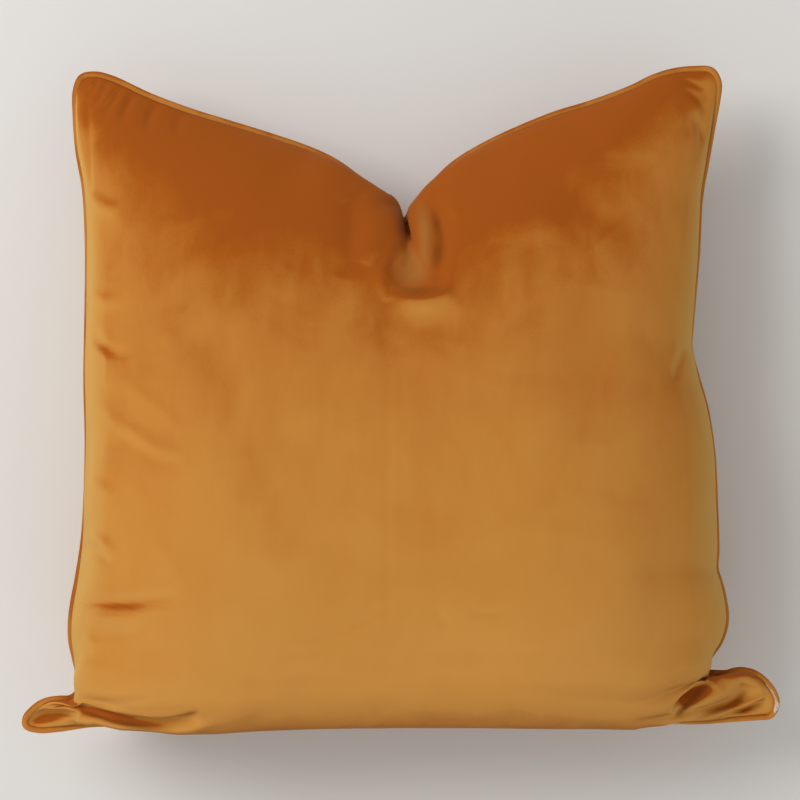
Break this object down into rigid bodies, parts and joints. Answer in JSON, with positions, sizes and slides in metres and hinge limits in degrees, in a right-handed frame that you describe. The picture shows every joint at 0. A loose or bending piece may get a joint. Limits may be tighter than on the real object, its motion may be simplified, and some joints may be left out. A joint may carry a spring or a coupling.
{
  "type": "cushion cover",
  "caption": "Filled square velvet cushion cover with a piped seam, a pressed-in notch in its top edge and flat bottom corners.",
  "frame": {"origin": "under the middle of the cushion's outline, on the surface it lies on", "axes": "+X to the cushion's right as it is looked at, +Y to its top edge, +Z out of its face"},
  "size_m": [0.5512, 0.4859, 0.1721],
  "materials": {
    "velvet": "ochre cotton velvet with a short pile, light where the pile leans away and dark where it faces up",
    "piping": "bias strip of the same velvet, wrapped over a cord and sewn into the seam"
  },
  "bodies": {
    "root": {"cover": "velvet", "piping": "piping"}
  },
  "joints": []
}
